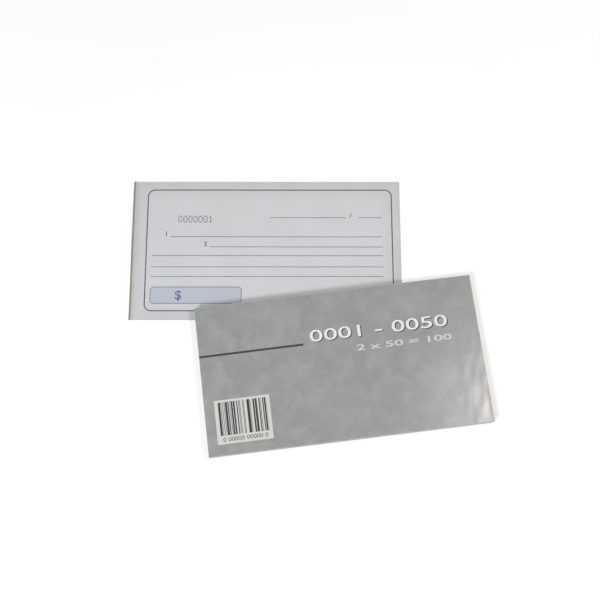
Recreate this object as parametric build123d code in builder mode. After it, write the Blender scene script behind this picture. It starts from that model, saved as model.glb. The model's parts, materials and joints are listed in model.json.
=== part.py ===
# Duplicate receipt book: a card cover wrapped round a gummed block of numbered sets.
# Each set is a perforated original over a thinner copy. The first original is out of the
# book and lies half under it. X runs from spine to fore edge, Y from foot to head.
import os
from math import cos, radians, sin

from build123d import *

# Leaves, in millimetres
leaf_length = 210.0
leaf_height = 112.0
original_thickness = 0.09
copy_thickness = 0.07
leaf_gap = 0.01
set_count = 50

# Perforation of the originals, a row of slits beside the spine
perforation_inset = 4.3
slit_length = 1.6
slit_width = 0.2
slit_pitch = 2.5

# Cover card, and the padding gum that its two spine folds go round
card_thickness = 0.35
gum_thickness = 0.5
gum_land = 0.05
gum_clearance = 0.05

# Fold lines: the cover's score, then one line for each turning leaf, stepped away from the spine
score_inset = 3.0
score_gap = 0.05
turning_leaf_count = 13
first_fold_step = 2.2
fold_step = 0.42
leaf_fold_gap = 0.02

# The loose receipt: how far it stands out beyond the spine, how far its foot is tucked under, its turn
receipt_reach = 52.0
receipt_tuck = 7.4
receipt_turn = 7.1

# Place of the book, so that the book and the loose receipt together are centred on the origin
turn = radians(receipt_turn)
book_west = -gum_thickness - card_thickness
receipt_west = -receipt_reach * cos(turn) - receipt_tuck * sin(turn)
receipt_foot = receipt_reach * sin(turn) - receipt_tuck * cos(turn)
receipt_east = receipt_west + leaf_length * cos(turn) + leaf_height * sin(turn)
receipt_south = receipt_foot - leaf_length * sin(turn)
receipt_north = receipt_foot + leaf_height * cos(turn)
spine_x = -(min(book_west, receipt_west) + max(leaf_length, receipt_east)) / 2
head_y = -(min(-leaf_height, receipt_south) + max(0.0, receipt_north)) / 2
foot_y = head_y - leaf_height
fore_x = spine_x + leaf_length
middle_y = head_y - leaf_height / 2

# Stack of leaves from the table up: the last copy lies on the back panel, the first copy is on top
thickness = {"original": original_thickness, "copy": copy_thickness}
back_bottom = original_thickness + leaf_gap
block_bottom = back_bottom + card_thickness + leaf_gap
stack = []
level = block_bottom
for number in range(set_count, 0, -1):
    for kind in ("copy", "original"):
        if (kind, number) != ("original", 1):
            stack.append((kind, number, level))
            level += thickness[kind] + leaf_gap
cover_bottom = level
cover_top = cover_bottom + card_thickness
lower_leaves = stack[:-turning_leaf_count]
turning_leaves = stack[:-turning_leaf_count - 1:-1]
score_x = spine_x + score_inset
fold_lines = [score_x + first_fold_step + place * fold_step for place in range(turning_leaf_count)]

perforation_x = spine_x + perforation_inset
slit_count = int((leaf_height - slit_length) // slit_pitch) + 1
from_corner = (Align.MIN, Align.MIN)

os.makedirs("parts", exist_ok=True)

# Back panel, spine and the narrow front strip up to the score: one card, folded twice
gum_corner = gum_thickness - gum_land
fold_radius = gum_corner - gum_clearance + card_thickness / 2
spine_card_x = spine_x - gum_thickness - card_thickness / 2
back_card_z = back_bottom + card_thickness / 2
front_card_z = cover_bottom + card_thickness / 2
with BuildPart() as wrap_cover:
    with BuildSketch(Plane.XZ.offset(-head_y)):
        with BuildLine():
            FilletPolyline(
                (fore_x, back_card_z),
                (spine_card_x, back_card_z),
                (spine_card_x, front_card_z),
                (score_x, front_card_z),
                radius=fold_radius,
            )
        trace(line_width=card_thickness)
    extrude(amount=leaf_height)
wrap_cover.part.label = "wrap_cover"
export_step(wrap_cover.part, "parts/wrap_cover.step")

# Front panel, hinged at the score
with BuildPart() as front_cover:
    with BuildSketch(Plane.XY.offset(cover_bottom)):
        with Locations((score_x + score_gap, foot_y)):
            Rectangle(fore_x - score_x - score_gap, leaf_height, align=from_corner)
    extrude(amount=card_thickness)
front_cover.part.label = "front_cover"
export_step(front_cover.part, "parts/front_cover.step")

# Padding gum between the leaves and the card, rounded to the card's folds
gum_height = cover_bottom - block_bottom
with BuildPart() as spine_gum:
    with BuildSketch(Plane.XZ.offset(-head_y)):
        with Locations((spine_x - gum_thickness, block_bottom)):
            gum_section = Rectangle(gum_thickness, gum_height, align=from_corner)
        fillet(gum_section.vertices().group_by(Axis.X)[0], radius=gum_corner)
    extrude(amount=leaf_height)
spine_gum.part.label = "spine_gum"
export_step(spine_gum.part, "parts/spine_gum.step")

# Bound edges of the turning leaves: the strip from the gum to each leaf's fold line
with BuildPart() as original_bound_edges:
    for (kind, number, bottom), fold_x in zip(turning_leaves, fold_lines):
        if kind == "original":
            with BuildSketch(Plane.XY.offset(bottom)):
                with Locations((spine_x, foot_y)):
                    Rectangle(fold_x - spine_x, leaf_height, align=from_corner)
                with Locations((perforation_x, middle_y)):
                    with GridLocations(slit_width, slit_pitch, 1, slit_count):
                        Rectangle(slit_width, slit_length, mode=Mode.SUBTRACT)
            extrude(amount=original_thickness)
original_bound_edges.part.label = "original_bound_edges"
export_step(original_bound_edges.part, "parts/original_bound_edges.step")

with BuildPart() as copy_bound_edges:
    for (kind, number, bottom), fold_x in zip(turning_leaves, fold_lines):
        if kind == "copy":
            with BuildSketch(Plane.XY.offset(bottom)):
                with Locations((spine_x, foot_y)):
                    Rectangle(fold_x - spine_x, leaf_height, align=from_corner)
            extrude(amount=copy_thickness)
copy_bound_edges.part.label = "copy_bound_edges"
export_step(copy_bound_edges.part, "parts/copy_bound_edges.step")

# The leaves that turn, from the top of the book down
for (kind, number, bottom), fold_x in zip(turning_leaves, fold_lines):
    with BuildPart() as turning_leaf:
        with BuildSketch(Plane.XY.offset(bottom)):
            with Locations((fold_x + leaf_fold_gap, foot_y)):
                Rectangle(fore_x - fold_x - leaf_fold_gap, leaf_height, align=from_corner)
        extrude(amount=thickness[kind])
    turning_leaf.part.label = f"{kind}_leaf_{number:02d}"
    export_step(turning_leaf.part, f"parts/{turning_leaf.part.label}.step")

# The rest of the block, one solid for each leaf
with BuildPart() as lower_originals:
    with BuildSketch(*[Plane.XY.offset(bottom) for kind, number, bottom in lower_leaves if kind == "original"]):
        with Locations((spine_x, foot_y)):
            Rectangle(leaf_length, leaf_height, align=from_corner)
    extrude(amount=original_thickness)
lower_originals.part.label = "lower_originals"
export_step(lower_originals.part, "parts/lower_originals.step")

with BuildPart() as lower_copies:
    with BuildSketch(*[Plane.XY.offset(bottom) for kind, number, bottom in lower_leaves if kind == "copy"]):
        with Locations((spine_x, foot_y)):
            Rectangle(leaf_length, leaf_height, align=from_corner)
    extrude(amount=copy_thickness)
lower_copies.part.label = "lower_copies"
export_step(lower_copies.part, "parts/lower_copies.step")

# The first receipt, flat on the table and turned against the book
receipt_plane = Plane(
    origin=(spine_x + receipt_west, head_y + receipt_foot, 0),
    x_dir=(cos(turn), -sin(turn), 0),
    z_dir=(0, 0, 1),
)
with BuildPart() as loose_receipt:
    with BuildSketch(receipt_plane):
        Rectangle(leaf_length, leaf_height, align=from_corner)
        with Locations((perforation_inset, leaf_height / 2)):
            with GridLocations(slit_width, slit_pitch, 1, slit_count):
                Rectangle(slit_width, slit_length, mode=Mode.SUBTRACT)
    extrude(amount=original_thickness)
loose_receipt.part.label = "loose_receipt"
export_step(loose_receipt.part, "parts/loose_receipt.step")
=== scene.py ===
import json
import math
import random

import bpy
from mathutils import Matrix, Vector, noise


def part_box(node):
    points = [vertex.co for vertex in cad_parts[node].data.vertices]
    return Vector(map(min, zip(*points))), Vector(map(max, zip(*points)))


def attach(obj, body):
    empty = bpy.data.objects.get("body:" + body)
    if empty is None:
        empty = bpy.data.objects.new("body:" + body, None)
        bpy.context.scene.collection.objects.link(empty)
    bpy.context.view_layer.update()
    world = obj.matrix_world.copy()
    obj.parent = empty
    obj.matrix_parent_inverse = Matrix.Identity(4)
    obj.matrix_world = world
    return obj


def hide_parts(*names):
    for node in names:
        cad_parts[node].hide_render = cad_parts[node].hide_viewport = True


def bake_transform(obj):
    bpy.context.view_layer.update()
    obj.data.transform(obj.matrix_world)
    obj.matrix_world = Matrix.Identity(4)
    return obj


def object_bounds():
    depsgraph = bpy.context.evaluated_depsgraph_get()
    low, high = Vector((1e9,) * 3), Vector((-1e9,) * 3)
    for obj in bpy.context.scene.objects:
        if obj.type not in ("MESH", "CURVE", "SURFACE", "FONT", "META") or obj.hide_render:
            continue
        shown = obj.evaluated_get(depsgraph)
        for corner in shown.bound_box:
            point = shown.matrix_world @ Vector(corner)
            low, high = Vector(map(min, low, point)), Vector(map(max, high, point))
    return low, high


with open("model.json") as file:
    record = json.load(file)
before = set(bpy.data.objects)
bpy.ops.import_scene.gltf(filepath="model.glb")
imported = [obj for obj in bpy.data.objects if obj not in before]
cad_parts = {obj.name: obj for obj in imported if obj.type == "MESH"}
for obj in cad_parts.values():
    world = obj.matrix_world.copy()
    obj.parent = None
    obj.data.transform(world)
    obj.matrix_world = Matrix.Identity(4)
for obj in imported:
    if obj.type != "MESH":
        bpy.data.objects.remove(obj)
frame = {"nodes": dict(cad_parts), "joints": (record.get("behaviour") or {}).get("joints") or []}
cadLow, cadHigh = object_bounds()
mm = 0.001
print("frame loaded, box", [round(v, 4) for v in (*cadLow, *cadHigh)])

# places that everything else is worked out from
leafLow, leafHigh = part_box("lower_originals")
wrapLow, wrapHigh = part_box("wrap_cover")
coverLow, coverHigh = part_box("front_cover")
leafLength, leafHeight = leafHigh.x - leafLow.x, leafHigh.y - leafLow.y
cardThickness = coverHigh.z - coverLow.z
joints = {joint["name"]: joint for joint in frame["joints"]}


# shader maths: a wrapped socket, so that an expression adds its own Math nodes
class Wire:
    def __init__(self, finish, socket):
        self.finish = finish
        self.socket = socket

    def maths(self, operation, *others):
        return self.finish.add("ShaderNodeMath", {"operation": operation}, [self, *others])

    def __add__(self, other):
        return self.maths("ADD", other)

    def __sub__(self, other):
        return self.maths("SUBTRACT", other)

    def __mul__(self, other):
        return self.maths("MULTIPLY", other)

    def __truediv__(self, other):
        return self.maths("DIVIDE", other)

    def __rsub__(self, other):
        return self.finish.add("ShaderNodeMath", {"operation": "SUBTRACT"}, [other, self])

    def __rtruediv__(self, other):
        return self.finish.add("ShaderNodeMath", {"operation": "DIVIDE"}, [other, self])

    def __abs__(self):
        return self.maths("ABSOLUTE")

    __radd__ = __add__
    __rmul__ = __mul__

    def least(self, other):
        return self.maths("MINIMUM", other)

    def most(self, other):
        return self.maths("MAXIMUM", other)

    def held(self):  # kept between 0 and 1
        return self.most(0.0).least(1.0)


# the nodes of a material, or of the world
class Finish:
    def __init__(self, holder, shader="Principled BSDF"):
        holder.use_nodes = True
        self.holder = holder
        self.tree = holder.node_tree
        self.shader = self.tree.nodes[shader]

    # any node: its settings first, then its sockets by place or by name
    def add(self, kind, settings=None, values=(), output=0):
        node = self.tree.nodes.new(kind)
        for key, value in (settings or {}).items():
            setattr(node, key, value)
        pairs = values.items() if isinstance(values, dict) else enumerate(values)
        for key, value in pairs:
            self.feed(node.inputs[key], value)
        return Wire(self, node.outputs[output])

    def feed(self, socket, value):
        if isinstance(value, Wire):
            self.tree.links.new(value.socket, socket)
        elif isinstance(value, tuple) and len(value) == 3 and socket.type == "RGBA":
            socket.default_value = (*value, 1)
        else:
            socket.default_value = value

    def set(self, **values):
        for key, value in values.items():
            self.feed(self.shader.inputs[key.replace("_", " ")], value)
        return self.holder

    # a colour between two, by a mask
    def mix(self, mask, first, second, blend="MIX"):
        settings = {"data_type": "RGBA", "blend_type": blend}
        return self.add("ShaderNodeMix", settings, {0: mask, 6: first, 7: second}, output=2)

    def grey(self, level):
        return self.add("ShaderNodeCombineColor", {}, [level, level, level])

    def noise(self, place, scale, detail=4.0, roughness=0.5, distortion=0.0, output=0):
        values = {"Vector": place, "Scale": scale, "Detail": detail, "Roughness": roughness,
                  "Distortion": distortion}
        return self.add("ShaderNodeTexNoise", {}, values, output)

    def spread(self, value, low, high, toLow=0.0, toHigh=1.0):
        return self.add("ShaderNodeMapRange", {"clamp": True}, [value, low, high, toLow, toHigh])

    def bump(self, height, strength, distance):
        values = {"Height": height, "Strength": strength, "Distance": distance}
        return self.add("ShaderNodeBump", {}, values)

    # the flat place of a sheet, kept on its points in millimetres, so that print bends with the sheet
    def place(self):
        vector = self.add("ShaderNodeAttribute", {"attribute_name": "flatPlace"}, output=1)
        axes = [self.add("ShaderNodeSeparateXYZ", {}, [vector], output=axis) for axis in range(3)]
        return vector, *axes

    # the rays that see a plain white background
    def whiteRays(self):
        rays = ("Is Camera Ray", "Is Glossy Ray", "Is Transmission Ray")
        camera, glossy, through = [self.add("ShaderNodeLightPath", output=ray) for ray in rays]
        return camera.most(glossy).most(through)


def newFinish(name):
    return Finish(bpy.data.materials.new(name))


def srgb(*levels):
    return tuple((v / 255 / 12.92) if v < 10.3 else ((v / 255 + 0.055) / 1.055) ** 2.4 for v in levels)


# print shapes, as masks in millimetres
edgeBlur = 0.12


def barMask(x, y, left, right, low, high):
    across = abs(x - (left + right) / 2) - (right - left) / 2
    upward = abs(y - (low + high) / 2) - (high - low) / 2
    return (0.5 - across.most(upward) / edgeBlur).held()


def roundedDistance(x, y, left, right, low, high, radius):
    across = abs(x - (left + right) / 2) - ((right - left) / 2 - radius)
    upward = abs(y - (low + high) / 2) - ((high - low) / 2 - radius)
    outside = (across.most(0.0) * across.most(0.0) + upward.most(0.0) * upward.most(0.0)).maths("SQRT")
    return outside + across.most(upward).least(0.0) - radius


def outlineMask(distance, width):
    return (0.5 + (width / 2 - abs(distance)) / edgeBlur).held()


def fillMask(distance):
    return (0.5 - distance / edgeBlur).held()


# distance from the nearest edge of a sheet
def rimDistance(x, y, left, right, height):
    return left.least(right - x).least(y).least(height - y)


# in a look, a noise field has its scale, detail and roughness, and a span has the levels it runs between
middleSpan, wideSpan = (0.35, 0.65), (0.3, 0.7)
# the handled tone is what a printed sheet greys to at its edges: painted shade, partly handling wear
paperLook = {
    "original": {"face": srgb(214, 215, 220), "shade": srgb(211, 212, 216), "handledShade": srgb(186, 187, 186),
                 "fibre": (0.9, 6.0, 0.65)},
    "copy": {"face": srgb(226, 214, 168), "shade": srgb(222, 210, 163), "handledShade": srgb(206, 194, 150),
             "fibre": (1.2, 6.0, 0.65)},
    "cloud": (0.035, 3.0), "speckLevels": (0.965, 1.03), "bump": (0.12, 0.04 * mm),
    "plain": {"roughness": (0.78, 0.92), "shine": 0.25}, "printed": {"roughness": (0.74, 0.9), "shine": 0.28},
}


def paperBase(finish, kind, vector):
    tones = paperLook[kind]
    cloud = finish.spread(finish.noise(vector, *paperLook["cloud"]), *middleSpan)
    fibre = finish.noise(vector, *tones["fibre"])
    colour = finish.mix(cloud, tones["shade"], tones["face"])
    speck = finish.spread(fibre, *wideSpan, *paperLook["speckLevels"])
    return finish.mix(1.0, colour, finish.grey(speck), "MULTIPLY"), fibre


def paperSurface(finish, colour, fibre, surface):
    roughness = finish.spread(fibre, *wideSpan, *paperLook[surface]["roughness"])
    return finish.set(Base_Color=colour, Roughness=roughness, Normal=finish.bump(fibre, *paperLook["bump"]),
                      Specular_IOR_Level=paperLook[surface]["shine"])


def plainPaper(kind):
    finish = newFinish(kind + "Paper")
    vector = finish.place()[0]
    return paperSurface(finish, *paperBase(finish, kind, vector), "plain")


# the printed form, in millimetres from the leaf's bound foot corner
formPrint = {
    "frame": (11.6, 203.4, 7.4, 105.1, 5.3), "frameWidth": 0.88, "frameInk": srgb(66, 74, 92),
    "rules": [(29.9, 66.5), (61.0, 58.3), (15.9, 51.2), (15.9, 42.2), (15.9, 34.6)], "ruleEnd": 195.7,
    "dateRules": [(107.5, 167.5), (177.2, 195.4)], "dateHeight": 82.2,
    "ruleWidth": 0.5, "ruleInk": srgb(100, 106, 120),
    "amountBox": (15.8, 86.1, 13.2, 26.2, 2.9), "amountWidth": 0.6,
    "boxInk": srgb(118, 132, 160), "boxTint": srgb(190, 197, 209),
    # the greying at the edges is painted shade as well as handling wear, broken up by a blotchy noise
    "handledShadeReach": 16.0, "handledShadeShare": 0.5, "edgeBlotch": (0.06, 3.0), "edgeBlotchSpan": (0.3, 0.6, 0.6, 1.0),
    "inking": (0.8, 3.0), "inkingSpan": (0.3, 0.6, 0.8, 1.0),
    "gumReach": 1.35, "gumRagged": 0.9, "gumNoise": (0.35, 4.0, 0.6), "gumBlur": 0.7, "gumShare": 0.85,
    "gumTones": (srgb(112, 101, 86), srgb(156, 145, 128)),
    # a painted shadow, tinted tan, runs beside the gum line
    "gumShadowReach": 5.0, "gumShadowShare": 0.3, "gumShadowTone": srgb(130, 121, 108),
}


def printedPaper(name, kind, gummed=False):
    form = formPrint
    finish = newFinish(name)
    vector, x, y = finish.place()[:3]
    colour, fibre = paperBase(finish, kind, vector)
    rim = rimDistance(x, y, x, leafLength / mm, leafHeight / mm)
    edgeBlotch = finish.spread(finish.noise(vector, *form["edgeBlotch"]), *form["edgeBlotchSpan"])
    handledShade = (1.0 - rim / form["handledShadeReach"]).held() * edgeBlotch  # greyer towards all its edges: painted shade, partly handling wear
    colour = finish.mix(handledShade * form["handledShadeShare"], colour, paperLook[kind]["handledShade"])
    box = roundedDistance(x, y, *form["amountBox"])
    colour = finish.mix(fillMask(box), colour, form["boxTint"])
    colour = finish.mix(outlineMask(box, form["amountWidth"]), colour, form["boxInk"])
    patchy = finish.spread(finish.noise(vector, *form["inking"]), *form["inkingSpan"])  # unevenly inked
    frameLine = outlineMask(roundedDistance(x, y, *form["frame"]), form["frameWidth"])
    colour = finish.mix(frameLine * patchy, colour, form["frameInk"])
    half = form["ruleWidth"] / 2
    spans = [(start, form["ruleEnd"], height) for start, height in form["rules"]]
    spans += [(start, end, form["dateHeight"]) for start, end in form["dateRules"]]
    lines = [barMask(x, y, start, end, height - half, height + half) for start, end, height in spans]
    rules = lines[0]
    for line in lines[1:]:
        rules = rules.most(line)
    colour = finish.mix(rules * patchy, colour, form["ruleInk"])
    if gummed:  # the line of gum that came away with the leaf, and a tan painted shadow beside it
        ragged = finish.noise(vector, *form["gumNoise"])
        reach = form["gumReach"] + (ragged - 0.5) * form["gumRagged"]
        gum = (0.5 + (reach - x) / form["gumBlur"]).held()
        gumShadow = (1.0 - x / form["gumShadowReach"]).held()
        colour = finish.mix(gumShadow * form["gumShadowShare"], colour, form["gumShadowTone"])
        colour = finish.mix(gum * form["gumShare"], colour, finish.mix(ragged, *form["gumTones"]))
    return paperSurface(finish, colour, fibre, "printed")


# the mottled cover card, in millimetres from the spine's foot corner
# a patch or fleck is where a noise field goes from low to high, with its share and its tone
coverPrint = {
    "ground": (srgb(145, 148, 150), srgb(152, 153, 154)), "groundNoise": (0.03, 4.0),
    "spotDetail": (1.2, 0.5, 0.2), "patchScale": 0.05,
    "patches": [(0.48, 0.66, 0.44, srgb(138, 143, 143)), (0.5, 0.68, 0.4, srgb(167, 167, 164)),
                (0.54, 0.7, 0.4, srgb(155, 149, 153))],
    "fleckScale": 0.115,
    "flecks": [(0.52, 0.62, 0.32, srgb(165, 165, 164)), (0.52, 0.62, 0.32, srgb(138, 143, 141))],
    "line": (-2.0, 78.6, 73.2, 74.85), "lineInk": srgb(44, 48, 68),
    "panel": (7.7, 48.7, 8.0, 40.3), "panelTone": srgb(209, 211, 206),
    "bars": (10.4, 46.2, 14.2, 38.6), "barInk": srgb(38, 40, 50),
    "barStep": 0.4, "barDraw": 1.7, "gapShare": 0.42,
    "rubReach": 0.9, "rubShare": 0.55, "rubTone": srgb(208, 206, 200), "rubDulling": 0.25,
    "wear": (0.5, 5.0), "wearSpan": (0.42, 0.62),
    "grain": (1.3, 5.0, 0.6), "grainBump": (0.08, 0.05 * mm), "sheenLevels": (0.18, 0.25), "shine": 0.55,
}


def mottledCard():
    look = coverPrint
    finish = newFinish("mottledCard")
    vector, x, y, z = finish.place()
    width, height = (coverHigh.x - wrapLow.x) / mm, leafHeight / mm
    top = (coverHigh.z - wrapLow.z) / mm
    cloud = finish.spread(finish.noise(vector, *look["groundNoise"]), *middleSpan)
    colour = finish.mix(cloud, *look["ground"])
    for scale, spots in ((look["patchScale"], look["patches"]), (look["fleckScale"], look["flecks"])):
        field = finish.noise(vector, scale, *look["spotDetail"], output=1)
        for channel, (low, high, share, tone) in enumerate(spots):
            level = finish.add("ShaderNodeSeparateColor", {}, [field], output=channel)
            colour = finish.mix(finish.spread(level, low, high) * share, colour, tone)
    front = z.maths("GREATER_THAN", (coverLow.z - wrapLow.z) / mm)
    colour = finish.mix(barMask(x, y, *look["line"]) * front, colour, look["lineInk"])
    colour = finish.mix(barMask(x, y, *look["panel"]) * front, colour, look["panelTone"])
    count = (x / look["barStep"]).maths("FLOOR")
    strip = finish.add("ShaderNodeTexWhiteNoise", {"noise_dimensions": "1D"}, {"W": count * look["barDraw"]})
    bars = barMask(x, y, *look["bars"]) * strip.maths("GREATER_THAN", look["gapShare"])
    colour = finish.mix(bars * front, colour, look["barInk"])
    rim = rimDistance(x, y, x.most(z.least(top - z)), width, height)  # the spine's folds count as edges
    worn = finish.spread(finish.noise(vector, *look["wear"]), *look["wearSpan"])
    rubbed = (1.0 - rim / look["rubReach"]).held() * worn
    colour = finish.mix(rubbed * look["rubShare"], colour, look["rubTone"])
    grain = finish.noise(vector, *look["grain"])
    sheen = finish.spread(grain, *wideSpan, *look["sheenLevels"]) + rubbed * look["rubDulling"]
    return finish.set(Base_Color=colour, Roughness=sheen, Specular_IOR_Level=look["shine"],
                      Normal=finish.bump(grain, *look["grainBump"]))


boardLook = {
    "ground": (srgb(196, 189, 176), srgb(206, 200, 188)), "cloud": (0.05, 3.0),
    "fibre": (0.7, 8.0, 0.7), "fibreSpan": (0.55, 0.75), "fibreTone": srgb(172, 162, 146),
    "roughness": 0.88, "bump": (0.2, 0.06 * mm),
}


def bareBoard():
    look = boardLook
    finish = newFinish("bareBoard")
    vector = finish.place()[0]
    fibre = finish.noise(vector, *look["fibre"])
    cloud = finish.spread(finish.noise(vector, *look["cloud"]), *middleSpan)
    colour = finish.mix(cloud, *look["ground"])
    colour = finish.mix(finish.spread(fibre, *look["fibreSpan"]), colour, look["fibreTone"])
    return finish.set(Base_Color=colour, Roughness=look["roughness"], Normal=finish.bump(fibre, *look["bump"]))


# gum and ink have a fine grain in Object coordinates, in metres
gumLook = {"tones": (srgb(128, 108, 84), srgb(168, 148, 120)), "lumps": (900.0, 4.0), "roughness": 0.6,
           "bump": (0.3, 0.1 * mm)}
inkTones = {
    "numberInk": srgb(96, 99, 108), "blueInk": srgb(92, 112, 150), "titleWhite": srgb(236, 236, 234),
    "titleShadow": srgb(46, 47, 50), "countGrey": srgb(208, 209, 209), "barInk": srgb(44, 46, 50),
}
inkLook = {"grain": (900.0, 3.0), "patchLevels": (0.86, 1.08), "roughness": 0.6}


def paddingGum():
    finish = newFinish("paddingGum")
    lumps = finish.noise(finish.add("ShaderNodeTexCoord", output="Object"), *gumLook["lumps"])
    return finish.set(Base_Color=finish.mix(lumps, *gumLook["tones"]), Roughness=gumLook["roughness"],
                      Normal=finish.bump(lumps, *gumLook["bump"]))


def printInk(name):
    finish = newFinish(name)
    grain = finish.noise(finish.add("ShaderNodeTexCoord", output="Object"), *inkLook["grain"])
    patch = finish.spread(grain, *wideSpan, *inkLook["patchLevels"])
    return finish.set(Base_Color=finish.mix(1.0, inkTones[name], finish.grey(patch), "MULTIPLY"),
                      Roughness=inkLook["roughness"])


board, originalPlain, copyPlain = bareBoard(), plainPaper("original"), plainPaper("copy")
sheetFaces = {  # upper face, under face and edge of each kind of sheet
    "cover": (mottledCard(), board, board),
    "original": (printedPaper("originalForm", "original"), originalPlain, originalPlain),
    "copy": (printedPaper("copyForm", "copy"), copyPlain, copyPlain),
    "receipt": (printedPaper("originalGummedForm", "original", gummed=True), originalPlain, originalPlain),
}
inks = {name: printInk(name) for name in inkTones}
print("finishes made:", len(sheetFaces) + len(inks))


# small helpers for work by operators
smoothAngle = math.radians(40)
nearEnough = 0.002 * mm
mergeReach = 0.001 * mm


def clearSelection():
    if bpy.context.object and bpy.context.object.mode != "OBJECT":
        bpy.ops.object.mode_set(mode="OBJECT")
    bpy.ops.object.select_all(action="DESELECT")


def makeActive(piece):
    clearSelection()
    piece.select_set(True)
    bpy.context.view_layer.objects.active = piece


def editAll(piece):
    makeActive(piece)
    bpy.ops.object.mode_set(mode="EDIT")
    bpy.ops.mesh.select_all(action="SELECT")


def leaveEdit():
    bpy.ops.object.mode_set(mode="OBJECT")


def applyAll(piece):
    makeActive(piece)
    for modifier in list(piece.modifiers):
        bpy.ops.object.modifier_apply(modifier=modifier.name)


def settle(piece):  # place, turn and scale go into the mesh
    makeActive(piece)
    bpy.ops.object.transform_apply(location=True, rotation=True, scale=True)


def smoothShade(piece):
    makeActive(piece)
    bpy.ops.object.shade_smooth_by_angle(angle=smoothAngle)


def copied(piece):
    twin = piece.copy()
    twin.data = piece.data.copy()
    bpy.context.collection.objects.link(twin)
    return twin


def joined(pieces):
    clearSelection()
    for piece in pieces:
        piece.select_set(True)
    bpy.context.view_layer.objects.active = pieces[0]
    if len(pieces) > 1:
        bpy.ops.object.join()
    settle(pieces[0])
    return pieces[0]


def keepPlace(piece, corner):
    flat = piece.data.attributes.new("flatPlace", "FLOAT_VECTOR", "POINT")
    for vertex, item in zip(piece.data.vertices, flat.data):
        item.vector = (vertex.co - Vector(corner)) / mm


# selects what passes the test, and leaves the piece in edit mode
def selectWhere(piece, kind, test):
    makeActive(piece)
    bpy.ops.object.mode_set(mode="EDIT")
    bpy.ops.mesh.select_mode(type=kind)
    bpy.ops.mesh.select_all(action="DESELECT")
    leaveEdit()
    for part in piece.data.edges if kind == "EDGE" else piece.data.polygons:
        part.select = test(part)
    bpy.ops.object.mode_set(mode="EDIT")


def selectEdgesAt(piece, x):
    def along(edge):
        return all(abs(piece.data.vertices[end].co.x - x) < nearEnough for end in edge.vertices)
    selectWhere(piece, "EDGE", along)


def bisectAt(axis, places):
    normal = [float(axis == index) for index in range(3)]
    for place in places:
        bpy.ops.mesh.select_all(action="SELECT")
        bpy.ops.mesh.bisect(plane_co=[place * part for part in normal], plane_no=normal)


def spreadCuts(start, end, count):
    return [start + (end - start) * step / count for step in range(1, count)]


def cutSheet(name, low, high, height, cutsX=(), cutsY=()):
    clearSelection()
    middle = ((low[0] + high[0]) / 2, (low[1] + high[1]) / 2, height)
    bpy.ops.mesh.primitive_plane_add(size=1, location=middle)
    piece = bpy.context.object
    piece.name = name
    piece.scale = (high[0] - low[0], high[1] - low[1], 1)
    settle(piece)
    bpy.ops.object.mode_set(mode="EDIT")
    bisectAt(0, cutsX)
    bisectAt(1, cutsY)
    leaveEdit()
    return piece


def thicken(piece, thickness, offset, materials):
    for material in materials:
        piece.data.materials.append(material)
    wall = piece.modifiers.new("wall", "SOLIDIFY")
    wall.thickness, wall.offset, wall.use_even_offset = thickness, offset, True
    wall.material_offset = min(1, len(materials) - 1)
    wall.material_offset_rim = len(materials) - 1
    applyAll(piece)


# the originals tear off along a row of slits, cut through the sheet before it gets its thickness
slitShape = {"inset": 4.3 * mm, "width": 0.2 * mm, "length": 1.6 * mm, "pitch": 2.5 * mm}


def perforate(piece, left, foot):
    row = slitShape
    half = row["length"] / 2
    count = int((leafHeight - row["length"]) / row["pitch"]) + 1
    first = foot + (leafHeight - (count - 1) * row["pitch"]) / 2
    middles = [first + slit * row["pitch"] for slit in range(count)]
    start, end = left + row["inset"] - row["width"] / 2, left + row["inset"] + row["width"] / 2

    def inRow(face):
        return start < face.center.x < end

    def inSlit(face):
        return inRow(face) and min(abs(face.center.y - middle) for middle in middles) < half

    makeActive(piece)
    bpy.ops.object.mode_set(mode="EDIT")
    bisectAt(0, (start, end))
    selectWhere(piece, "FACE", inRow)
    bpy.ops.mesh.hide(unselected=True)
    bisectAt(1, [middle + side * half for middle in middles for side in (-1, 1)])
    selectWhere(piece, "FACE", inSlit)
    bpy.ops.mesh.delete(type="FACE")
    bpy.ops.mesh.reveal(select=False)
    leaveEdit()


# the card cover: two sheets that meet half way up the spine
coverShape = {
    "foldInside": 0.40 * mm, "foldSteps": 7, "scoreReach": 0.5 * mm, "scoreCuts": 8,
    "panelCuts": 25, "crossCuts": 28,
    "curlLift": 0.5 * mm, "curlReach": 46 * mm, "curlFoot": 73.6 * mm, "bow": 0.8 * mm,
    "creaseReach": (24 * mm, 96 * mm), "creaseCuts": 24, "creaseDepth": 0.33 * mm,
    "creaseTurn": 0.3, "creaseSize": (6.7 * mm, 18 * mm), "creaseLevel": -0.5,
}
foldRadius = coverShape["foldInside"] + cardThickness / 2
spineMiddle = wrapLow.x + cardThickness / 2
middleHeight = (wrapLow.z + wrapHigh.z) / 2
scoreLine = Vector(joints["cover_hinge"]["pos_m"])


def wrapRound(piece, edgeX, centreHeight, upward):
    selectEdgesAt(piece, edgeX)
    bpy.ops.mesh.spin(steps=coverShape["foldSteps"], angle=upward * math.pi / 2,
                      center=(edgeX, wrapLow.y, centreHeight), axis=(0, 1, 0))
    selectEdgesAt(piece, spineMiddle)
    toMiddle = (0, 0, middleHeight - centreHeight)
    bpy.ops.mesh.extrude_region_move(TRANSFORM_OT_translate={"value": toMiddle})
    bpy.ops.mesh.select_all(action="SELECT")
    bpy.ops.mesh.remove_doubles(threshold=mergeReach)
    leaveEdit()


def faceOut(piece, upward):
    editAll(piece)
    bpy.ops.mesh.normals_make_consistent(inside=False)
    leaveEdit()
    flat = max(piece.data.polygons, key=lambda face: face.area)
    if flat.normal.z * upward < 0:
        editAll(piece)
        bpy.ops.mesh.flip_normals()
        leaveEdit()


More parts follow.
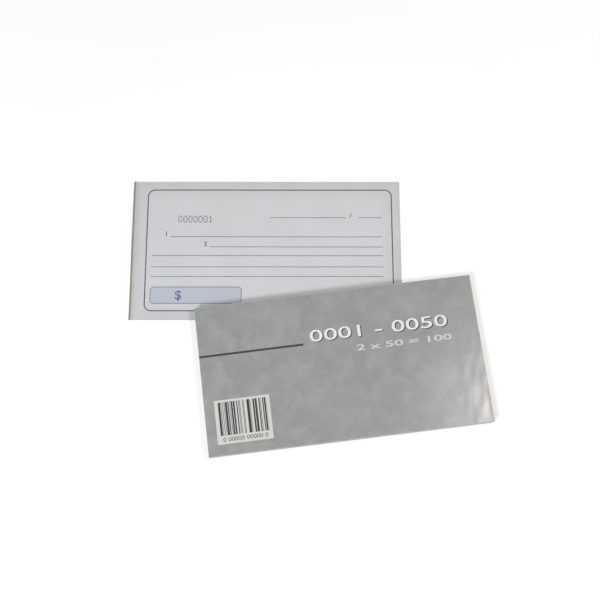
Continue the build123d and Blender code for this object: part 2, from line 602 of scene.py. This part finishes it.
# creases in the card, from nothing at the ends of their reach to full depth at the free foot corner,
# where a field of noise stands above a level
def creaseLift(x, y):
    shape = coverShape
    share = max(0.0, 1 - (coverHigh.x - x) / shape["creaseReach"][0])
    share *= max(0.0, 1 - (y - wrapLow.y) / shape["creaseReach"][1])
    across = x * math.cos(shape["creaseTurn"]) - y * math.sin(shape["creaseTurn"])
    along = x * math.sin(shape["creaseTurn"]) + y * math.cos(shape["creaseTurn"])
    level = noise.noise((across / shape["creaseSize"][0], along / shape["creaseSize"][1], 0))
    return shape["creaseDepth"] * share * max(0.0, level - shape["creaseLevel"])


def coverSheet(name, height, upward):
    shape = coverShape
    edgeX = spineMiddle + foldRadius
    scoreEnd = scoreLine.x + shape["scoreReach"]
    creaseStart = coverHigh.x - shape["creaseReach"][0]
    cuts = [scoreLine.x, scoreEnd, creaseStart]
    cuts += spreadCuts(scoreLine.x, scoreEnd, shape["scoreCuts"])
    cuts += spreadCuts(scoreEnd, creaseStart, shape["panelCuts"])
    cuts += spreadCuts(creaseStart, coverHigh.x, shape["creaseCuts"])
    rows = spreadCuts(wrapLow.y, wrapHigh.y, shape["crossCuts"])
    piece = cutSheet(name, (edgeX, wrapLow.y), (coverHigh.x, wrapHigh.y), height, cuts, rows)
    wrapRound(piece, edgeX, height - upward * foldRadius, upward)
    faceOut(piece, upward)
    thicken(piece, cardThickness, 0.0, sheetFaces["cover"])
    keepPlace(piece, wrapLow)
    smoothShade(piece)
    return piece


frontSheet = coverSheet("coverFront", (coverLow.z + coverHigh.z) / 2, 1)
for vertex in frontSheet.data.vertices:  # the free corner curls up, creased, and the panel bows
    along = max(0.0, (vertex.co.x - scoreLine.x) / (coverHigh.x - scoreLine.x))
    nearEdge = max(0.0, 1 - (coverHigh.x - vertex.co.x) / coverShape["curlReach"])
    nearFoot = max(0.0, 1 - (vertex.co.y - wrapLow.y) / coverShape["curlFoot"])
    vertex.co.z += coverShape["curlLift"] * nearEdge ** 2 * nearFoot
    vertex.co.z += coverShape["bow"] * math.sin(math.pi * along) + creaseLift(vertex.co.x, vertex.co.y)
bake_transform(frontSheet)
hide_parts("front_cover")
backSheet = coverSheet("coverBack", wrapLow.z + cardThickness / 2, -1)
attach(backSheet, "book_block")
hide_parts("wrap_cover")
print("cover made")

# no leaf is trimmed quite like the next, at its fore edge, its head and its foot
trimShape = {"ragged": 0.12 * mm, "seed": 11}
randomEdge = random.Random(trimShape["seed"])


def trimUnevenly(vertices):
    slipX = randomEdge.uniform(-1, 0) * trimShape["ragged"]
    slipY = randomEdge.uniform(-1, 1) * trimShape["ragged"]
    for vertex in vertices:
        vertex.co.y += slipY
        if vertex.co.x > leafLow.x + leafLength / 2:
            vertex.co.x += slipX


# the turning leaves: each is one sheet from the gum to the fore edge, cut finely across its fold line
# the fold of a lower leaf is wider, so that it goes round the folds above it
leafShape = {"foldReach": 3.2 * mm, "foldGrowth": 0.42 * mm, "foldCuts": 18, "panelCuts": 14, "crossCuts": 8}
turningLeaves = [joint for joint in frame["joints"] if joint["name"].endswith("_turn")]
boundEdges = {"original": "original_bound_edges", "copy": "copy_bound_edges"}
leafSheets = {}
for order, joint in enumerate(turningLeaves):
    body = joint["child"]
    kind = body.split("_")[0]
    low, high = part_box(body)
    foldX = joint["pos_m"][0]
    foldEnd = foldX + leafShape["foldReach"] + order * leafShape["foldGrowth"]
    cuts = [foldX, foldEnd] + spreadCuts(foldX, foldEnd, leafShape["foldCuts"])
    cuts += spreadCuts(foldEnd, high.x, leafShape["panelCuts"])
    rows = spreadCuts(low.y, high.y, leafShape["crossCuts"])
    name = body.replace("_", "-") + "-sheet"
    leaf = cutSheet(name, (leafLow.x, low.y), (high.x, high.y), high.z, cuts, rows)
    if kind == "original":
        perforate(leaf, leafLow.x, leafLow.y)
    thicken(leaf, high.z - low.z, -1.0, sheetFaces[kind])
    keepPlace(leaf, (leafLow.x, leafLow.y, low.z))
    trimUnevenly(leaf.data.vertices)
    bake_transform(leaf)
    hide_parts(body)
    kind + "_paper"
    leafSheets[body] = leaf, (foldX, 0, 0), (foldEnd, 0, 0)
    if kind in boundEdges:  # the first leaf of each kind stands in for the bound edges too
        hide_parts(boundEdges.pop(kind))
print("turning leaves made:", len(turningLeaves))

# the rest of the block: a sheet for every leaf
upperOriginal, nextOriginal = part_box("original_leaf_02"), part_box("original_leaf_03")
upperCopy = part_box("copy_leaf_02")
leafThickness = {"original": upperOriginal[1].z - upperOriginal[0].z,
                 "copy": upperCopy[1].z - upperCopy[0].z}
setPitch = upperOriginal[1].z - nextOriginal[1].z


def sheetCount(node, kind):
    low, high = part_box(node)
    return int(round((high.z - low.z - leafThickness[kind]) / setPitch)) + 1


def blockSheets(name, node, kind, top, count, slits=False):
    low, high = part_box(node)
    block = cutSheet(name, (low.x, low.y), (high.x, high.y), top)
    if slits:
        perforate(block, leafLow.x, leafLow.y)
    thicken(block, leafThickness[kind], -1.0, sheetFaces[kind])
    if count > 1:
        stack = block.modifiers.new("stack", "ARRAY")
        stack.count, stack.use_relative_offset, stack.use_constant_offset = count, False, True
        stack.constant_offset_displace = (0, 0, -setPitch)
        applyAll(block)
    keepPlace(block, (leafLow.x, leafLow.y, low.z))
    each = len(block.data.vertices) // count
    for sheet in range(count):
        trimUnevenly(block.data.vertices[sheet * each:(sheet + 1) * each])
    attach(block, "book_block")
    print("  sheets in", name, count)
    return block


# the first original of the block shows its form when the leaves are turned, so it is a piece of its own
topOriginal = blockSheets("original-leaf-08-sheet", "lower_originals", "original", leafHigh.z, 1, slits=True)
originalBlock = blockSheets("originalBlock", "lower_originals", "original", leafHigh.z - setPitch,
                            sheetCount("lower_originals", "original") - 1)
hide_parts("lower_originals")
copyBlock = blockSheets("copyBlock", "lower_copies", "copy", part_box("lower_copies")[1].z,
                        sheetCount("lower_copies", "copy"))
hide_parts("lower_copies")
gumObject = frame["nodes"]["spine_gum"]
gumObject.data.materials.clear()
gumObject.data.materials.append(paddingGum())
print("block made")

# the loose receipt, a little wavy on the table, its bound edge lifted by the gum
receiptShape = {
    "cutsX": 42, "cutsY": 22, "wave": 0.35 * mm, "waveTurns": (5.1, 2.6), "waveStarts": (0.6, 0.4),
    "tucked": 34 * mm, "settling": 30 * mm,  # flat where the book lies on it, then slowly freer
    "boundLift": 0.7 * mm, "boundReach": 9 * mm, "tuckedShare": 0.25,
}
receiptTravel = Vector(joints["receipt_slide"]["axis"])
receiptTurn = math.atan2(receiptTravel.x, receiptTravel.y)  # clockwise, against the book
receiptLow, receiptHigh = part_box("loose_receipt")
receiptCorner = Vector((receiptLow.x, receiptLow.y + leafLength * math.sin(receiptTurn), 0))
receipt = cutSheet("looseReceipt", (0, 0), (leafLength, leafHeight), receiptHigh.z,
                   spreadCuts(0, leafLength, receiptShape["cutsX"]),
                   spreadCuts(0, leafHeight, receiptShape["cutsY"]))
perforate(receipt, 0, 0)
thicken(receipt, receiptHigh.z - receiptLow.z, -1.0, sheetFaces["receipt"])
keepPlace(receipt, (0, 0, 0))
(turnsX, turnsY), (startX, startY) = receiptShape["waveTurns"], receiptShape["waveStarts"]
for vertex in receipt.data.vertices:
    x, y = vertex.co.x, vertex.co.y
    free = min(1.0, max(0.0, (y - receiptShape["tucked"]) / receiptShape["settling"]))
    swell = 1 + math.sin(x / leafLength * turnsX + startX) * math.sin(y / leafHeight * turnsY + startY)
    bound = max(0.0, 1 - x / receiptShape["boundReach"])
    share = receiptShape["tuckedShare"] + (1 - receiptShape["tuckedShare"]) * free
    vertex.co.z += free * receiptShape["wave"] * swell + receiptShape["boundLift"] * bound ** 2 * share
receipt.matrix_world = Matrix.Translation(receiptCorner) @ Matrix.Rotation(-receiptTurn, 4, "Z")
settle(receipt)
smoothShade(receipt)
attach(receipt, "loose_receipt")
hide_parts("loose_receipt")
print("receipt made")

# figures, all plain numbers: thin meshes laid on their sheet
textShape = {"depth": 0.003 * mm, "curveSteps": 4}


def laidText(text, size, ink, bold=0.0, width=None):
    clearSelection()
    bpy.ops.object.text_add(location=(0, 0, 0))
    letters = bpy.context.object.data
    letters.body, letters.size, letters.offset = text, size, bold
    letters.extrude, letters.resolution_u = textShape["depth"], textShape["curveSteps"]
    bpy.ops.object.convert(target="MESH")
    piece = bpy.context.object
    editAll(piece)
    bpy.ops.mesh.remove_doubles(threshold=mergeReach)
    bpy.ops.mesh.normals_make_consistent(inside=False)
    leaveEdit()
    piece.data.materials.clear()
    piece.data.materials.append(inks[ink])
    if width:
        piece.scale.x = width / piece.dimensions.x
        settle(piece)
    return piece


# the numbering machine's digits, in dots, from the top row down
dotDigits = {
    "0": "01110 10001 10001 10001 10001 10001 01110", "1": "00100 01100 00100 00100 00100 00100 01110",
    "2": "01110 10001 00001 00010 00100 01000 11111", "3": "11110 00001 00001 01110 00001 00001 11110",
    "4": "00010 00110 01010 10010 11111 00010 00010", "5": "11111 10000 11110 00001 00001 10001 01110",
    "6": "00110 01000 10000 11110 10001 10001 01110", "7": "11111 00001 00010 00100 01000 01000 01000",
    "8": "01110 10001 10001 01110 10001 10001 01110",
}
dotShape = {"stepX": 0.62 * mm, "stepY": 0.8 * mm, "radius": 0.39 * mm, "sides": 8, "depth": 0.006 * mm,
            "pitch": 3.95 * mm, "digits": 7}


def addDot(place):
    bpy.ops.mesh.primitive_circle_add(vertices=dotShape["sides"], radius=dotShape["radius"],
                                      fill_type="NGON", location=place)


def dotDigit(rows):
    clearSelection()
    addDot((0, 0, 0))
    piece = bpy.context.object
    bpy.ops.object.mode_set(mode="EDIT")
    bpy.ops.mesh.delete(type="VERT")  # an empty piece to start from
    for row, dots in enumerate(reversed(rows.split())):
        for column, dot in enumerate(dots):
            if dot == "1":
                addDot((column * dotShape["stepX"], row * dotShape["stepY"], 0))
    leaveEdit()
    thicken(piece, dotShape["depth"], 0.0, [inks["numberInk"]])
    return piece


def laidNumber(number):
    digits = [copied(digitPieces[digit]) for digit in f"{number:0{dotShape['digits']}d}"]
    for place, digit in enumerate(digits):
        digit.location.x = place * dotShape["pitch"]
    return joined(digits)


# pieces come with their place and lift in millimetres, from the sheet's corner
aboveAll = 0.05  # metres, over every sheet


def layOn(name, body, pieces, corner, turn, sheet, slotName, bend=None):
    toCorner = Matrix.Translation((corner.x, corner.y, 0)) @ Matrix.Rotation(turn, 4, "Z")
    for piece, x, y, lift in pieces:
        piece.matrix_world = toCorner @ Matrix.Translation(Vector((x, y, 0)) * mm)
        settle(piece)
        for vertex in piece.data.vertices:  # each point lies on the sheet under it
            over = Vector((vertex.co.x, vertex.co.y, aboveAll))
            under = sheet.ray_cast(over, Vector((0, 0, -1)))[1]
            vertex.co.z += under.z + lift * mm
    whole = joined([piece for piece, *rest in pieces])
    whole.name = name
    if bend:
        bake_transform(whole)
    else:
        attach(whole, body)


# text, size, ink, bold and place, in millimetres from the leaf's bound foot corner
leafFigures = {
    "number": (36.2, 78.5), "lift": 0.006,
    "texts": [("1", 5.0, "numberInk", 0.12, 25.6, 67.3), ("2", 5.0, "numberInk", 0.12, 56.4, 59.1),
              ("/", 5.0, "numberInk", 0.12, 170.4, 82.6), ("$", 10.2, "blueInk", 0.14, 34.6, 16.3)],
}
digitPieces = {digit: dotDigit(rows) for digit, rows in dotDigits.items()}
textPieces = [(laidText(text, size * mm, ink, bold * mm), x, y)
              for text, size, ink, bold, x, y in leafFigures["texts"]]


def formFigures(name, body, number, corner, turn, sheet, slotName, bend=None):
    lift = leafFigures["lift"]
    made = [(laidNumber(number), *leafFigures["number"], lift)]
    made += [(copied(piece), x, y, lift) for piece, x, y in textPieces]
    layOn(name, body, made, corner, turn, sheet, slotName, bend)


formFigures("receiptFigures", "loose_receipt", 1, receiptCorner, -receiptTurn, receipt, "original_paper")
for body, (leaf, *bend) in leafSheets.items():
    name, slotName = body.replace("_", "-") + "-figures", body.split("_")[0] + "_paper"
    formFigures(name, body, int(body[-2:]), leafLow, 0.0, leaf, slotName, bend)
formFigures("original-leaf-08-figures", "book_block", 8, leafLow, 0.0, topOriginal, "original_paper")
for pattern in [*digitPieces.values(), *(piece for piece, x, y in textPieces)]:
    bpy.data.objects.remove(pattern)

# text, size, width, ink, bold, place and lift, in millimetres from the spine's foot corner
coverFigures = {"texts": [
    ("0001 - 0050", 12.6, 104.0, "titleShadow", 0.05, 84.25, 74.55, 0.01),
    ("0001 - 0050", 12.6, 104.0, "titleWhite", 0.05, 83.5, 75.2, 0.024),
    ("2 x 50 = 100", 6.2, 72.0, "countGrey", 0.1, 117.5, 64.6, 0.012),
    ("0 00000 00000 0", 4.3, 33.0, "barInk", 0.0, 11.8, 9.8, 0.012),
]}
layOn("coverFigures", "front_cover", [
    (laidText(text, size * mm, ink, bold * mm, width * mm), x, y, lift)
    for text, size, width, ink, bold, x, y, lift in coverFigures["texts"]
], wrapLow, 0.0, frontSheet, "cover_card")
print("figures made")

# floor, light and camera
studio = {
    "floorSize": 12.0, "floorDrop": 0.02 * mm, "floorTone": (0.82, 0.82, 0.82), "floorRoughness": 0.9,
    "floorNear": 0.25, "floorFar": 1.6, "nearGlow": 0.3, "farGlow": 0.7, "worldLight": 0.4,
    "mainPower": 4.5, "mainPlace": (-0.42, -0.42, 0.85), "mainSize": 0.3,
    "sheenPower": 1.9, "sheenPlace": (0.38, -0.055, 0.78), "sheenSize": 0.18, "sheenTone": (1.0, 0.93, 0.88),
    "target": (0.001, -0.0005), "turn": -7.1, "elevation": 77.0, "distance": 0.66, "lens": 51.5,
    "sensor": 36.0, "nearest": 0.01,
}
clearSelection()
bpy.ops.mesh.primitive_plane_add(size=studio["floorSize"], location=(0, 0, cadLow.z - studio["floorDrop"]))
floor = bpy.context.object
floor.name = "floor"
floorFinish = newFinish("paleFloor")
floorPlace = floorFinish.add("ShaderNodeTexCoord", output="Object")
fromBook = floorFinish.add("ShaderNodeVectorMath", {"operation": "LENGTH"}, [floorPlace], output=1)
lift = floorFinish.spread(fromBook, studio["floorNear"], studio["floorFar"],
                          studio["nearGlow"], studio["farGlow"])
floor.data.materials.append(floorFinish.set(
    Base_Color=studio["floorTone"], Roughness=studio["floorRoughness"], Specular_IOR_Level=0.0,
    Emission_Color=floorFinish.grey(floorFinish.whiteRays() * lift), Emission_Strength=1.0))

scene = bpy.context.scene
scene.view_settings.view_transform = "Standard"
scene.world = bpy.data.worlds.new("studio")
sky = Finish(scene.world, "Background")
sky.set(Color=(1, 1, 1), Strength=sky.whiteRays() * (1 - studio["worldLight"]) + studio["worldLight"])


def softbox(name, place, size, power, tone=(1, 1, 1)):
    clearSelection()
    bpy.ops.object.light_add(type="AREA", location=place)
    lamp = bpy.context.object
    lamp.name = name
    lamp.data.shape, lamp.data.size, lamp.data.energy, lamp.data.color = "DISK", size, power, tone
    lamp.rotation_euler = (-Vector(place)).to_track_quat("-Z", "Y").to_euler()


softbox("mainLight", studio["mainPlace"], studio["mainSize"], studio["mainPower"])
softbox("sheenLight", studio["sheenPlace"], studio["sheenSize"], studio["sheenPower"], studio["sheenTone"])

cameraData = bpy.data.cameras.new("camera")
camera = bpy.data.objects.new("camera", cameraData)
scene.collection.objects.link(camera)
tilt, swing = math.radians(studio["elevation"]), math.radians(studio["turn"])
away = Vector((math.sin(swing) * math.cos(tilt), -math.cos(swing) * math.cos(tilt), math.sin(tilt)))
camera.location = Vector((*studio["target"], 0)) + away * studio["distance"]
camera.rotation_mode = "QUATERNION"
camera.rotation_quaternion = (-away).to_track_quat("-Z", "Y")
cameraData.lens, cameraData.sensor_width = studio["lens"], studio["sensor"]
cameraData.clip_start = studio["nearest"]
scene.camera = camera
print("studio made")
